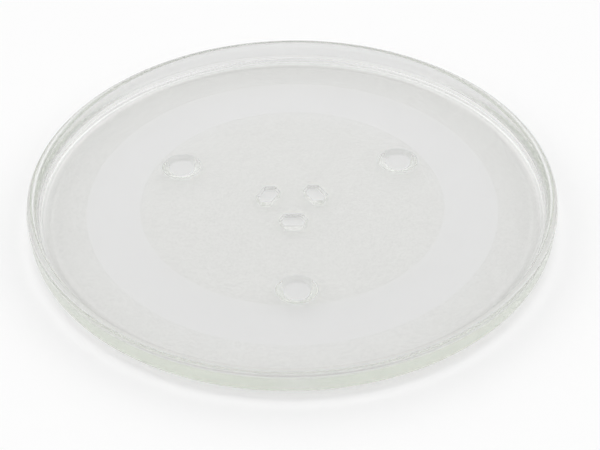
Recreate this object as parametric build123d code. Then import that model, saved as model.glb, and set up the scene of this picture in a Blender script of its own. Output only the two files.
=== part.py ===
from build123d import *

import os
from math import atan2, cos, degrees, hypot, radians, sin, sqrt, tan

# Pressed glass turntable plate: a shallow round plate with a rounded rim, a smooth roller track on
# its underside, three drive lugs round the middle and three feet. It is one piece of glass.
# The axis of the plate is Z. The origin is on that axis, at the level that the feet stand on.

# Plate, all lengths in millimetres and all angles in degrees
PLATE_DIAMETER = 288.0
BASE_THICKNESS = 4.4  # from the roller track up to the floor
RIM_HEIGHT = 14.2  # from the roller track up to the top of the rim
RIM_ROUND = 2.2  # radius of the rounded rim
COVE_RADIUS = 9.6  # hollow curve from the floor up into the rounded rim
OUTER_DRAFT = 3.5  # lean of the outer wall from the vertical
HEEL_RADIUS = 2.2  # between the outer wall and the underside

# Underside
TRACK_INNER_DIAMETER = 168.5
TRACK_OUTER_DIAMETER = 224.0
TRACK_STEP = 0.03  # how far the smooth track stands out of the stippled glass beside it
TRACK_RAMP = 1.2  # width of the slope on each side of the track
SEAM_DIAMETER = 72.0  # fine raised line left by the middle of the mould
SEAM_WIDTH = 1.0
SEAM_HEIGHT = 0.008

# Drive lugs and feet, on the same three spokes
SPOKES = 3
FIRST_SPOKE = -90.0  # direction of the first spoke, from +X
LUG_CIRCLE_DIAMETER = 30.4
LUG_LENGTH = 15.6  # from point to point, across the spoke
LUG_FLAT = 9.8  # length of the two flat sides
LUG_WIDTH = 9.6  # between the flat sides, along the spoke
LUG_HEIGHT = 4.2  # from the stippled glass down
LUG_DRAFT = 6.0
LUG_EDGE_RADIUS = 0.6
LUG_ROOT_RADIUS = 0.4
FOOT_DIAMETER = 21.4  # at the stippled glass
FOOT_HEIGHT = 4.4  # from the roller track down to what the plate stands on
FOOT_PAD_DIAMETER = 14.0  # flat end of the foot
FOOT_ROOT_RADIUS = 1.8
FOOT_TRACK_GAP = 1.6  # from the side of a foot out to the slope of the track, for the round at its root

# How far an edge may be from its level and still be found there
TOLERANCE = 0.001

# Levels and places that follow
TRACK_Z = FOOT_HEIGHT
STIPPLE_Z = TRACK_Z + TRACK_STEP
FLOOR_Z = TRACK_Z + BASE_THICKNESS
RIM_CENTRE = Vector(PLATE_DIAMETER / 2 - RIM_ROUND, TRACK_Z + RIM_HEIGHT - RIM_ROUND)
LUG_PLACE = Pos(LUG_CIRCLE_DIAMETER / 2, 0, STIPPLE_Z)
FOOT_OUTSIDE = TRACK_INNER_DIAMETER / 2 - TRACK_RAMP - FOOT_TRACK_GAP
FOOT_PLACE = Pos(FOOT_OUTSIDE - FOOT_DIAMETER / 2, 0, STIPPLE_Z)
SPOKE_TURNS = [Rot(0, 0, FIRST_SPOKE + spoke * 360 / SPOKES) for spoke in range(SPOKES)]


def polar(angle, distance):
    """Step in the section plane, at an angle from the radius."""
    return Vector(cos(radians(angle)), sin(radians(angle))) * distance


def cove_centre():
    """Centre of the hollow curve that touches both the floor and the round rim."""
    level = FLOOR_Z + COVE_RADIUS
    reach = sqrt((COVE_RADIUS + RIM_ROUND) ** 2 - (level - RIM_CENTRE.Y) ** 2)
    return Vector(RIM_CENTRE.X - reach, level)


def plate_section():
    """Half section of the plate without its lugs and feet."""
    cove = cove_centre()
    to_rim = degrees(atan2(RIM_CENTRE.Y - cove.Y, RIM_CENTRE.X - cove.X))
    cove_top = cove + polar(to_rim, COVE_RADIUS)
    cove_middle = cove + polar((to_rim - 90) / 2, COVE_RADIUS)
    cove_foot = cove + polar(-90, COVE_RADIUS)
    rim_top = RIM_CENTRE + polar(90, RIM_ROUND)
    rim_outside = RIM_CENTRE + polar(-OUTER_DRAFT, RIM_ROUND)
    heel = Vector(rim_outside.X - (rim_outside.Y - STIPPLE_Z) * tan(radians(OUTER_DRAFT)), STIPPLE_Z)

    seam = SEAM_DIAMETER / 2
    track_in = TRACK_INNER_DIAMETER / 2
    track_out = TRACK_OUTER_DIAMETER / 2
    underside = [
        (0, STIPPLE_Z),
        (seam - SEAM_WIDTH / 2, STIPPLE_Z),
        (seam, STIPPLE_Z - SEAM_HEIGHT),
        (seam + SEAM_WIDTH / 2, STIPPLE_Z),
        (track_in - TRACK_RAMP, STIPPLE_Z),
        (track_in, TRACK_Z),
        (track_out, TRACK_Z),
        (track_out + TRACK_RAMP, STIPPLE_Z),
        heel,
    ]
    with BuildSketch() as section:
        with BuildLine():
            Polyline(*underside, rim_outside)
            ThreePointArc(rim_outside, rim_top, cove_top)
            ThreePointArc(cove_top, cove_middle, cove_foot)
            Polyline(cove_foot, (0, FLOOR_Z), (0, STIPPLE_Z))
        make_face()
        fillet(section.vertices().sort_by_distance(heel)[0], HEEL_RADIUS)
    return Plane.XZ * section.sketch


def lug():
    """Six-sided lug with its points across the spoke, hanging from the origin."""
    tip, flat, side = LUG_LENGTH / 2, LUG_FLAT / 2, LUG_WIDTH / 2
    outline = [(0, tip), (-side, flat), (-side, -flat), (0, -tip), (side, -flat), (side, flat)]
    body = extrude(Polygon(*outline, align=None), LUG_HEIGHT, dir=(0, 0, -1), taper=LUG_DRAFT)
    corners = body.edges().filter_by(lambda edge: edge.bounding_box().size.Z > LUG_HEIGHT / 2)
    body = fillet(corners, LUG_EDGE_RADIUS)
    return fillet(body.faces().sort_by(Axis.Z)[0].edges(), LUG_EDGE_RADIUS)


def foot():
    """Round foot with a flat end and a side that is part of a ball, hanging from the origin."""
    root, pad = FOOT_DIAMETER / 2, FOOT_PAD_DIAMETER / 2
    drop = FOOT_HEIGHT + TRACK_STEP
    ball_z = (root**2 - pad**2 - drop**2) / (2 * drop)
    ball = hypot(root, ball_z)
    half_way = ((root + pad) / 2, ball_z - (ball**2 - (root + pad) ** 2 / 4) ** 0.5)
    with BuildSketch() as section:
        with BuildLine():
            Polyline((root, 0), (0, 0), (0, -drop), (pad, -drop))
            ThreePointArc((pad, -drop), half_way, (root, 0))
        make_face()
    return revolve(Plane.XZ * section.sketch, Axis.Z)


def round_roots(plate, place, size, radius):
    """Round the edges where the lugs or the feet grow out of the stippled glass."""
    level = plate.edges().filter_by_position(Axis.Z, STIPPLE_Z - TOLERANCE, STIPPLE_Z + TOLERANCE)
    roots = []
    for turn in SPOKE_TURNS:
        centre = (turn * place).position
        roots += [edge for edge in level if (edge.bounding_box().center() - centre).length < size / 2]
    return fillet(roots, radius)


def turntable_plate():
    """The whole plate in one piece."""
    plate = revolve(plate_section(), Axis.Z)
    for turn in SPOKE_TURNS:
        plate += turn * LUG_PLACE * lug()
        plate += turn * FOOT_PLACE * foot()
    plate = round_roots(plate, LUG_PLACE, LUG_LENGTH, LUG_ROOT_RADIUS)
    return round_roots(plate, FOOT_PLACE, FOOT_DIAMETER, FOOT_ROOT_RADIUS)


os.makedirs("parts", exist_ok=True)
export_step(turntable_plate(), "parts/turntable_plate.step")
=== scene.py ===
from math import asin, atan2, cos, degrees, hypot, radians, sin, sqrt, tan

import bmesh
import bpy
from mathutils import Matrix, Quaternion, Vector
from mathutils.geometry import tessellate_polygon


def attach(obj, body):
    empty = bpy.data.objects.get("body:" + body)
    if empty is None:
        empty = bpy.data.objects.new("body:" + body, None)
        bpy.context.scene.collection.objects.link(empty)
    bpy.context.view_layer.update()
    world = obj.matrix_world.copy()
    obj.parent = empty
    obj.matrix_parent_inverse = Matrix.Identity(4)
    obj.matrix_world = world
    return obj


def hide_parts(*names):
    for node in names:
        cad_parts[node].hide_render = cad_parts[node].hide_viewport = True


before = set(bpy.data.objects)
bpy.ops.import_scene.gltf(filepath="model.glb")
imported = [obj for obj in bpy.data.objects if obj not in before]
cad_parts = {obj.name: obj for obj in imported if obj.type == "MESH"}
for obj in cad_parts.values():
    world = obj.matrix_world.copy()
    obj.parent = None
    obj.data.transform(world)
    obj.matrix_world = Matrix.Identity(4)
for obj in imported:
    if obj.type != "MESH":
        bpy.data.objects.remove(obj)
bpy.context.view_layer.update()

# The frame is the CAD part's: Z is the plate's axis and the feet stand on Z = 0.
# Lengths on the plate are in millimetres, those of the camera and the studio in metres.
# All angles are in degrees.
MM = 0.001

# Plate, with the CAD part's sizes
PLATE_NODE = "turntable_plate"
PLATE_DIAMETER = 288.0
BASE_THICKNESS = 4.4  # from the roller track up to the floor
RIM_HEIGHT = 14.2  # from the roller track up to the top of the rim
RIM_ROUND = 2.2  # radius of the rounded rim
COVE_RADIUS = 9.6  # hollow curve from the floor up into the rounded rim
OUTER_DRAFT = 3.5  # lean of the outer wall from the vertical
HEEL_RADIUS = 2.2  # between the outer wall and the underside

# Underside
TRACK_INNER_DIAMETER = 168.5
TRACK_OUTER_DIAMETER = 224.0
TRACK_STEP = 0.03  # how far the smooth track stands out of the stippled glass beside it
TRACK_RAMP = 1.2  # width of the slope on each side of the track
SEAM_DIAMETER = 72.0  # fine raised line left by the middle of the mould
SEAM_WIDTH = 1.0
SEAM_HEIGHT = 0.008

# Drive lugs and feet, on the same three spokes
SPOKES = 3
FIRST_SPOKE = -90.0  # direction of the first spoke, from +X
LUG_CIRCLE_DIAMETER = 30.4
LUG_LENGTH = 15.6  # from point to point, across the spoke
LUG_FLAT = 9.8  # length of the two flat sides
LUG_WIDTH = 9.6  # between the flat sides, along the spoke
LUG_HEIGHT = 4.2  # from the stippled glass down
LUG_DRAFT = 6.0
LUG_EDGE_RADIUS = 0.6
LUG_ROOT_RADIUS = 0.4
FOOT_DIAMETER = 21.4  # at the stippled glass
FOOT_HEIGHT = 4.4  # from the roller track down to what the plate stands on
FOOT_PAD_DIAMETER = 14.0  # flat end of the foot
FOOT_ROOT_RADIUS = 1.8
FOOT_TRACK_GAP = 1.6  # from the side of a foot out to the slope of the track

# Levels and places that follow
TRACK_Z = FOOT_HEIGHT
STIPPLE_Z = TRACK_Z + TRACK_STEP
FLOOR_Z = TRACK_Z + BASE_THICKNESS
LUG_PLACE = LUG_CIRCLE_DIAMETER / 2
FOOT_PLACE = TRACK_INNER_DIAMETER / 2 - TRACK_RAMP - FOOT_TRACK_GAP - FOOT_DIAMETER / 2

# Fineness of the plate's mesh
TURN_STEPS = 512  # round the plate
FOOT_STEPS = 96  # round a foot
CORNER_STEPS = 8  # round each corner of a lug
ROUND_STEP = 4.0  # angle between two points of a round
FEWEST_STEPS = 2  # in the shortest round
SUPPORT = 0.15  # from an edge to the extra points that keep the shading of a flat face flat
LONG_STRAIGHT = 0.6  # a straight longer than this gets such points at its ends
LEAST_CORNER = 0.012  # radius left at the corners of a lug's flat end

# Glass
GLASS_COLOUR = (0.842, 0.842, 0.842, 1.0)
GLASS_IOR = 1.5
ABSORPTION_COLOUR = (0.46, 0.59, 0.3, 1.0)
ABSORPTION_DENSITY = 1.6  # per metre
RIM_ROUGHNESS = 0.2
FOOT_ROUGHNESS = 0.6  # on the sides of the feet
FOOT_FADE = 0.5  # height of the change to smooth glass at both ends of a foot's side

# Stipple
STIPPLE_DARK = (0.789, 0.789, 0.774, 1.0)
STIPPLE_LIGHT = (0.885, 0.885, 0.87, 1.0)
STIPPLE_GRAIN = 1.3  # size of a pit
STIPPLE_DETAIL = 1.0
STIPPLE_SPREAD = 0.25  # how far the noise goes from its middle to full dark or full light
NOISE_MIDDLE = 0.5
STIPPLE_DEPTH = 0.05
STIPPLE_ROUGHNESS = 0.25
STIPPLE_FADE = 0.6  # width of the change to the smooth track
STIPPLE_TOP = 0.5  # where it ends on the heel, above the track
STIPPLE_TOP_FADE = 0.25
STIPPLE_EDGE_DIAMETER = 262.0  # outside it, the stipple is only a colour
STIPPLE_EDGE_FADE = 4.0

# Camera, fitted to the photograph
IMAGE_WIDTH = 600  # pixels
FOCAL_PIXELS = 1596.6  # focal length in those pixels
SENSOR_WIDTH = 36.0  # in millimetres
VIEW_CENTRE_HEIGHT = 0.0067  # of the point on the axis that the camera's place is given from
VIEW_AZIMUTH = -1.468
VIEW_ELEVATION = 39.074
VIEW_DISTANCE = 0.8784
AIM_POINT = (0.00349, -0.02002)  # X and Y that the camera looks at, at that height
CAMERA_ROLL = -0.56

# Studio, where rises and turns are the Z and the Y of a direction of length 1
FLOOR_SIZE = 24.0
FLOOR_DROP = 0.0002  # below the feet, so that no two faces share a place
FLOOR_COLOUR = (0.95, 0.95, 0.95, 1.0)
LIGHT_COLOUR = (1.0, 1.0, 1.0, 1.0)
HORIZON_LIGHT = 0.306
TOP_LIGHT = 1.44
ROOM_RISE = (0.0, 0.6)  # from the horizon's light to the top light
ZENITH_SHARE = 0.7  # of the top light, straight above
ZENITH_RISE = (0.6, 0.95)
FRONT_SHARE = 0.5  # of the light that is left in front, behind the camera
ROOM_TURN = (-0.85, -0.15)
LIGHT_BOUNCES = 48


def polar(angle, distance=1.0):
    """Step in a plane, at an angle from its first axis."""
    return Vector((cos(radians(angle)), sin(radians(angle)))) * distance


def arc(centre, radius, start, end):
    """Points along a round, from one angle to another."""
    steps = max(FEWEST_STEPS, round(abs(end - start) / ROUND_STEP))
    return [centre + polar(start + (end - start) * step / steps, radius) for step in range(steps + 1)]


def rounded_corner(before, corner, after, radius):
    """Points of the round that takes the place of a corner."""
    back, ahead = (before - corner).normalized(), (after - corner).normalized()
    half = back.angle(ahead) / 2
    centre = corner + (back + ahead).normalized() * radius / sin(half)
    first = corner + back * radius / tan(half) - centre
    last = corner + ahead * radius / tan(half) - centre
    start = degrees(atan2(first.y, first.x))
    turn = degrees(atan2(first.cross(last), first.dot(last)))
    return arc(centre, radius, start, start + turn)


def supported(points):
    """The points of an outline, with more close to the ends of each long straight."""
    filled = []
    for point, following in zip(points, points[1:]):
        filled.append(point)
        along = following - point
        if along.length > LONG_STRAIGHT:
            inset = along.normalized() * SUPPORT
            filled += [point + inset, following - inset]
    return filled + [points[-1]]


def circles(outline, steps):
    """Circles with their heights, one for each point of a half section that is turned about an axis."""
    directions = [polar(360 * step / steps) for step in range(steps)]
    return [([direction * point.x for direction in directions], point.y) for point in outline]


def plate_outline():
    """Half section from the inside of the roller track, round the rim and down the cove to the floor."""
    rim = Vector((PLATE_DIAMETER / 2 - RIM_ROUND, TRACK_Z + RIM_HEIGHT - RIM_ROUND))
    above = FLOOR_Z + COVE_RADIUS - rim.y
    reach = sqrt((COVE_RADIUS + RIM_ROUND) ** 2 - above**2)
    cove = Vector((rim.x - reach, FLOOR_Z + COVE_RADIUS))
    meet = degrees(atan2(above, -reach))
    rim_outside = rim + polar(-OUTER_DRAFT, RIM_ROUND)
    lean = (rim_outside.y - STIPPLE_Z) * tan(radians(OUTER_DRAFT))
    heel = Vector((rim_outside.x - lean, STIPPLE_Z))
    track_in, track_out = TRACK_INNER_DIAMETER / 2, TRACK_OUTER_DIAMETER / 2
    track = [
        Vector((track_in - TRACK_RAMP - SUPPORT, STIPPLE_Z)),
        Vector((track_in - TRACK_RAMP, STIPPLE_Z)),
        Vector((track_in, TRACK_Z)),
        Vector((track_out, TRACK_Z)),
        Vector((track_out + TRACK_RAMP, STIPPLE_Z)),
    ]
    round_heel = rounded_corner(track[-1], heel, rim_outside, HEEL_RADIUS)
    round_rim = arc(rim, RIM_ROUND, -OUTER_DRAFT, meet)
    round_cove = arc(cove, COVE_RADIUS, meet - 180, -90)
    floor_edge = round_cove[-1] - Vector((SUPPORT, 0))
    return supported(track + round_heel + round_rim + round_cove[1:] + [floor_edge])


def seam_outline():
    """Half section of the fine raised line left by the middle of the mould."""
    middle, half = SEAM_DIAMETER / 2, SEAM_WIDTH / 2
    return [
        Vector((middle - half - SUPPORT, STIPPLE_Z)),
        Vector((middle - half, STIPPLE_Z)),
        Vector((middle, STIPPLE_Z - SEAM_HEIGHT)),
        Vector((middle + half, STIPPLE_Z)),
        Vector((middle + half + SUPPORT, STIPPLE_Z)),
    ]


def foot_outline():
    """Half section of a foot, from the round at its root down a part of a ball to its flat end."""
    root, pad = FOOT_DIAMETER / 2, FOOT_PAD_DIAMETER / 2
    drop = FOOT_HEIGHT + TRACK_STEP
    ball_z = (root**2 - pad**2 - drop**2) / (2 * drop)
    ball = hypot(root, ball_z)
    flare = sqrt((ball + FOOT_ROOT_RADIUS) ** 2 - (ball_z + FOOT_ROOT_RADIUS) ** 2)
    centre = Vector((0, STIPPLE_Z + ball_z))
    root_centre = Vector((flare, STIPPLE_Z - FOOT_ROOT_RADIUS))
    meet = degrees(atan2(root_centre.y - centre.y, root_centre.x))
    end = degrees(asin(-(drop + ball_z) / ball))
    root_round = arc(root_centre, FOOT_ROOT_RADIUS, 90, 180 + meet)
    side = arc(centre, ball, meet, end)
    level = Vector((SUPPORT, 0))
    return [root_round[0] + level] + root_round + side[1:] + [side[-1] - level]


def lug_outline(inset, corner_radius):
    """Six-sided outline of a lug, points across the spoke, drawn in by the inset."""
    tip, flat, side = LUG_LENGTH / 2, LUG_FLAT / 2, LUG_WIDTH / 2
    outline = [(0, tip), (-side, flat), (-side, -flat), (0, -tip), (side, -flat), (side, flat)]
    corners = [Vector(point) for point in outline]
    points = []
    for index, corner in enumerate(corners):
        before = (corners[index - 1] - corner).normalized()
        after = (corners[(index + 1) % len(corners)] - corner).normalized()
        half = before.angle(after) / 2
        inward = (before + after).normalized()
        centre = corner + inward * (inset + corner_radius) / sin(half)
        middle = degrees(atan2(-inward.y, -inward.x))
        spread = 90 - degrees(half)
        for step in range(CORNER_STEPS + 1):
            angle = middle - spread + 2 * spread * step / CORNER_STEPS
            points.append(centre + polar(angle, corner_radius))
    return points


def lug_rings():
    """Outlines of a lug with their heights, from the round at its root to its flat end."""
    steps = round(90 / ROUND_STEP)
    turns = [radians(90 * step / steps) for step in range(steps + 1)]
    flare = LUG_ROOT_RADIUS + SUPPORT
    rings = [(lug_outline(-flare, LUG_EDGE_RADIUS + flare), STIPPLE_Z)]
    for turn in turns:
        flare = LUG_ROOT_RADIUS * (1 - sin(turn))
        height = STIPPLE_Z - LUG_ROOT_RADIUS * (1 - cos(turn))
        rings.append((lug_outline(-flare, LUG_EDGE_RADIUS + flare), height))
    lean = (LUG_HEIGHT - LUG_ROOT_RADIUS) * tan(radians(LUG_DRAFT))
    end_z = STIPPLE_Z - LUG_HEIGHT
    for turn in turns:
        inset = lean + LUG_EDGE_RADIUS * (1 - cos(turn))
        corner = max(LUG_EDGE_RADIUS * cos(turn), LEAST_CORNER)
        rings.append((lug_outline(inset, corner), end_z + LUG_EDGE_RADIUS * (1 - sin(turn))))
    return rings + [(lug_outline(inset + SUPPORT, corner), end_z)]


class Skin:
    """Closed mesh that is put together ring by ring."""

    def __init__(self):
        self.points, self.faces = [], []

    def ring(self, outline, height):
        """Add a closed ring of points at a height."""
        first = len(self.points)
        self.points += [(point.x * MM, point.y * MM, height * MM) for point in outline]
        return list(range(first, len(self.points)))

    def bridge(self, rings):
        """Join rings of as many points, each to the next, with bands of faces."""
        for one, other in zip(rings, rings[1:]):
            for index, point in enumerate(one):
                self.faces.append((one[index - 1], point, other[index], other[index - 1]))

    def patch(self, outer, *holes):
        """Fill the level area inside a ring, round other rings."""
        rings = [outer, *holes]
        known = [index for ring in rings for index in ring]
        outlines = [[Vector(self.points[index]) for index in ring] for ring in rings]
        for triangle in tessellate_polygon(outlines):
            self.faces.append([known[corner] for corner in triangle])

    def turned(self, outline):
        """Add a section turned about the axis, and give its first and last rings."""
        rings = [self.ring(circle, height) for circle, height in circles(outline, TURN_STEPS)]
        self.bridge(rings)
        return rings[0], rings[-1]

    def stacked(self, outlines, centre, turn):
        """Add a stack of outlines about a centre, turned, closed by a level end. Gives its first ring."""
        along, across = polar(turn), polar(turn + 90)
        rings = []
        for outline, height in outlines:
            placed = [centre + point.x * along + point.y * across for point in outline]
            rings.append(self.ring(placed, height))
        self.bridge(rings)
        self.patch(rings[-1])
        return rings[0]

    def mesh(self, name):
        """The finished mesh, smooth all over."""
        mesh = bpy.data.meshes.new(name)
        mesh.from_pydata(self.points, [], self.faces)
        mesh.shade_smooth()
        work = bmesh.new()
        work.from_mesh(mesh)
        bmesh.ops.recalc_face_normals(work, faces=work.faces)
        work.to_mesh(mesh)
        work.free()
        return mesh


def plate():
    """The glass plate as a fine mesh in the place of the CAD node."""
    skin = Skin()
    track_root, floor_edge = skin.turned(plate_outline())
    seam_inside, seam_outside = skin.turned(seam_outline())
    skin.patch(floor_edge)
    lug, foot = lug_rings(), circles(foot_outline(), FOOT_STEPS)
    lugs, feet = [], []
    for spoke in range(SPOKES):
        turn = FIRST_SPOKE + spoke * 360 / SPOKES
        lugs.append(skin.stacked(lug, polar(turn, LUG_PLACE), turn))
        feet.append(skin.stacked(foot, polar(turn, FOOT_PLACE), turn))
    skin.patch(seam_inside, *lugs)
    skin.patch(track_root, seam_outside, *feet)
    piece = bpy.data.objects.new("glass_plate", skin.mesh("glass_plate"))
    bpy.context.scene.collection.objects.link(piece)
    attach(piece, "root")
    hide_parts(PLATE_NODE)
    return piece


def feed(tree, socket, value):
    """Link a socket to another one, or set it to a value."""
    if isinstance(value, bpy.types.NodeSocket):
        tree.links.new(value, socket)
    else:
        socket.default_value = value


def maths(tree, operation, *values):
    """A maths node on sockets or numbers."""
    node = tree.nodes.new("ShaderNodeMath")
    node.operation = operation
    for socket, value in zip(node.inputs, values):
        feed(tree, socket, value)
    return node.outputs[0]


def product(tree, value, *others):
    """Sockets or numbers multiplied together."""
    for other in others:
        value = maths(tree, "MULTIPLY", value, other)
    return value


def smooth(tree, value, start, end, first=0.0, last=1.0):
    """Smooth change from a first to a last number as a value goes from a start to an end."""
    node = tree.nodes.new("ShaderNodeMapRange")
    node.interpolation_type = "SMOOTHSTEP"
    tree.links.new(value, node.inputs["Value"])
    node.inputs["From Min"].default_value = start
    node.inputs["From Max"].default_value = end
    node.inputs["To Min"].default_value = first
    node.inputs["To Max"].default_value = last
    return node.outputs["Result"]


def step_up(tree, value, edge, fade):
    """0 below the edge and 1 above it, with a short smooth change between."""
    return smooth(tree, value, (edge - fade / 2) * MM, (edge + fade / 2) * MM)


def step_down(tree, value, edge, fade):
    """1 below the edge and 0 above it, with a short smooth change between."""
    return maths(tree, "SUBTRACT", 1, step_up(tree, value, edge, fade))


def mixed(tree, share, one, other):
    """Colour from one to another, each a colour or a socket, by the share of the other."""
    node = tree.nodes.new("ShaderNodeMix")
    node.data_type = "RGBA"
    tree.links.new(share, node.inputs["Factor"])
    feed(tree, node.inputs["A"], one)
    feed(tree, node.inputs["B"], other)
    return node.outputs["Result"]


def noise(tree, position, size, detail):
    """Noise about zero, with lumps about as long as the size."""
    scaled = tree.nodes.new("ShaderNodeVectorMath")
    scaled.operation = "DIVIDE"
    tree.links.new(position, scaled.inputs[0])
    scaled.inputs[1].default_value = [size * MM] * 3
    node = tree.nodes.new("ShaderNodeTexNoise")
    node.inputs["Scale"].default_value = 1.0
    node.inputs["Detail"].default_value = detail
    tree.links.new(scaled.outputs[0], node.inputs["Vector"])
    return maths(tree, "SUBTRACT", node.outputs["Fac"], NOISE_MIDDLE)


def places(tree):
    """Position on the plate, distance from its axis and height."""
    position = tree.nodes.new("ShaderNodeTexCoord").outputs["Object"]
    split = tree.nodes.new("ShaderNodeSeparateXYZ")
    tree.links.new(position, split.inputs[0])
    x, y, z = split.outputs
    squares = maths(tree, "ADD", product(tree, x, x), product(tree, y, y))
    return position, maths(tree, "SQRT", squares), z


def stippled_share(tree, radius, z):
    """1 on the stippled parts of the underside, 0 on the track, the lugs, the feet and the top."""
    outside = step_up(tree, radius, TRACK_OUTER_DIAMETER / 2, STIPPLE_FADE)
    inside = step_down(tree, radius, TRACK_INNER_DIAMETER / 2, STIPPLE_FADE)
    below = step_down(tree, z, TRACK_Z + STIPPLE_TOP, STIPPLE_TOP_FADE)
    above = step_up(tree, z, STIPPLE_Z - TRACK_STEP / 2, TRACK_STEP / 2)
    return product(tree, maths(tree, "ADD", inside, outside), below, above)


def inner_share(tree, radius):
    """1 under the floor, 0 under the rim and its hollow curve."""
    return step_down(tree, radius, STIPPLE_EDGE_DIAMETER / 2, STIPPLE_EDGE_FADE)


def foot_share(tree, radius, z):
    """1 on the sides of the feet, 0 on their flat ends and elsewhere."""
    outside = step_up(tree, radius, SEAM_DIAMETER / 2, STIPPLE_FADE)
    below = step_down(tree, z, STIPPLE_Z - FOOT_FADE, FOOT_FADE)
    above = step_up(tree, z, FOOT_FADE, FOOT_FADE)
    return product(tree, outside, below, above)


def rim_share(tree, radius):
    """1 on the rim and its outer wall, 0 inside."""
    rim_width = 2 * RIM_ROUND
    return step_up(tree, radius, PLATE_DIAMETER / 2 - rim_width, RIM_ROUND)


def tint(tree):
    """Faint colour that shows where light goes a long way in the glass."""
    depth = tree.nodes.new("ShaderNodeVolumeAbsorption")
    depth.inputs["Color"].default_value = ABSORPTION_COLOUR
    depth.inputs["Density"].default_value = ABSORPTION_DENSITY
    tree.links.new(depth.outputs["Volume"], tree.nodes["Material Output"].inputs["Volume"])


def glass():
    """Clear pressed glass, stippled on the underside and duller on the rim and the sides of the feet."""
    material = bpy.data.materials.new("pressed_glass")
    material.use_nodes = True
    tree = material.node_tree
    tint(tree)
    shader = tree.nodes["Principled BSDF"]
    shader.inputs["Transmission Weight"].default_value = 1
    shader.inputs["IOR"].default_value = GLASS_IOR

    position, radius, z = places(tree)
    stippled = stippled_share(tree, radius, z)
    pits = noise(tree, position, STIPPLE_GRAIN, STIPPLE_DETAIL)
    light = smooth(tree, pits, -STIPPLE_SPREAD, STIPPLE_SPREAD)
    speckled = mixed(tree, light, STIPPLE_DARK, STIPPLE_LIGHT)
    tree.links.new(mixed(tree, stippled, GLASS_COLOUR, speckled), shader.inputs["Base Color"])

    deep = product(tree, stippled, inner_share(tree, radius))
    under = product(tree, deep, STIPPLE_ROUGHNESS)
    rim = product(tree, rim_share(tree, radius), RIM_ROUGHNESS)
    foot = product(tree, foot_share(tree, radius, z), FOOT_ROUGHNESS)
    roughness = maths(tree, "MAXIMUM", maths(tree, "MAXIMUM", under, rim), foot)
    tree.links.new(roughness, shader.inputs["Roughness"])

    bump = tree.nodes.new("ShaderNodeBump")
    bump.inputs["Strength"].default_value = 1.0
    bump.inputs["Distance"].default_value = MM
    tree.links.new(product(tree, pits, STIPPLE_DEPTH, deep), bump.inputs["Height"])
    tree.links.new(bump.outputs["Normal"], shader.inputs["Normal"])
    return material


def floor():
    """Pale floor that the plate stands on."""
    bpy.ops.mesh.primitive_plane_add(size=FLOOR_SIZE, location=(0, 0, -FLOOR_DROP))
    plane = bpy.context.object
    plane.name = "floor"
    material = bpy.data.materials.new("pale_floor")
    material.use_nodes = True
    shader = material.node_tree.nodes["Principled BSDF"]
    shader.inputs["Base Color"].default_value = FLOOR_COLOUR
    shader.inputs["Roughness"].default_value = 1.0
    shader.inputs["Specular IOR Level"].default_value = 0.0
    plane.data.materials.append(material)


def sky():
    """Room with soft light that is dim at the horizon, brightest at mid height and dimmer in front."""
    world = bpy.data.worlds.new("studio")
    bpy.context.scene.world = world
    world.use_nodes = True
    tree = world.node_tree
    split = tree.nodes.new("ShaderNodeSeparateXYZ")
    tree.links.new(tree.nodes.new("ShaderNodeTexCoord").outputs["Generated"], split.inputs[0])
    overhead = smooth(tree, split.outputs["Z"], *ROOM_RISE, HORIZON_LIGHT, TOP_LIGHT)
    zenith = smooth(tree, split.outputs["Z"], *ZENITH_RISE, 1.0, ZENITH_SHARE)
    front = smooth(tree, split.outputs["Y"], *ROOM_TURN, FRONT_SHARE, 1.0)
    background = tree.nodes["Background"]
    background.inputs["Color"].default_value = LIGHT_COLOUR
    tree.links.new(product(tree, overhead, zenith, front), background.inputs["Strength"])


def camera():
    """Camera at the photograph's place."""
    azimuth, elevation = radians(VIEW_AZIMUTH), radians(VIEW_ELEVATION)
    towards = Vector((sin(azimuth) * cos(elevation), -cos(azimuth) * cos(elevation), sin(elevation)))
    centre = Vector((0, 0, VIEW_CENTRE_HEIGHT))
    aim = Vector((*AIM_POINT, VIEW_CENTRE_HEIGHT))
    data = bpy.data.cameras.new("camera")
    data.sensor_fit = "HORIZONTAL"
    data.sensor_width = SENSOR_WIDTH
    data.lens = FOCAL_PIXELS * SENSOR_WIDTH / IMAGE_WIDTH
    holder = bpy.data.objects.new("camera", data)
    holder.location = centre + towards * VIEW_DISTANCE
    holder.rotation_mode = "QUATERNION"
    look = (aim - holder.location).to_track_quat("-Z", "Y")
    holder.rotation_quaternion = look @ Quaternion((0, 0, 1), radians(CAMERA_ROLL))
    bpy.context.scene.collection.objects.link(holder)
    bpy.context.scene.camera = holder


def light_paths():
    """Paths long enough for light that goes to and fro in the glass, and no blur added to them."""
    cycles = bpy.context.scene.cycles
    cycles.blur_glossy = 0
    cycles.max_bounces = LIGHT_BOUNCES
    cycles.transmission_bounces = LIGHT_BOUNCES
    cycles.glossy_bounces = LIGHT_BOUNCES
    cycles.diffuse_bounces = LIGHT_BOUNCES


plate().data.materials.append(glass())
floor()
sky()
camera()
light_paths()
bpy.context.scene.view_settings.view_transform = "Standard"
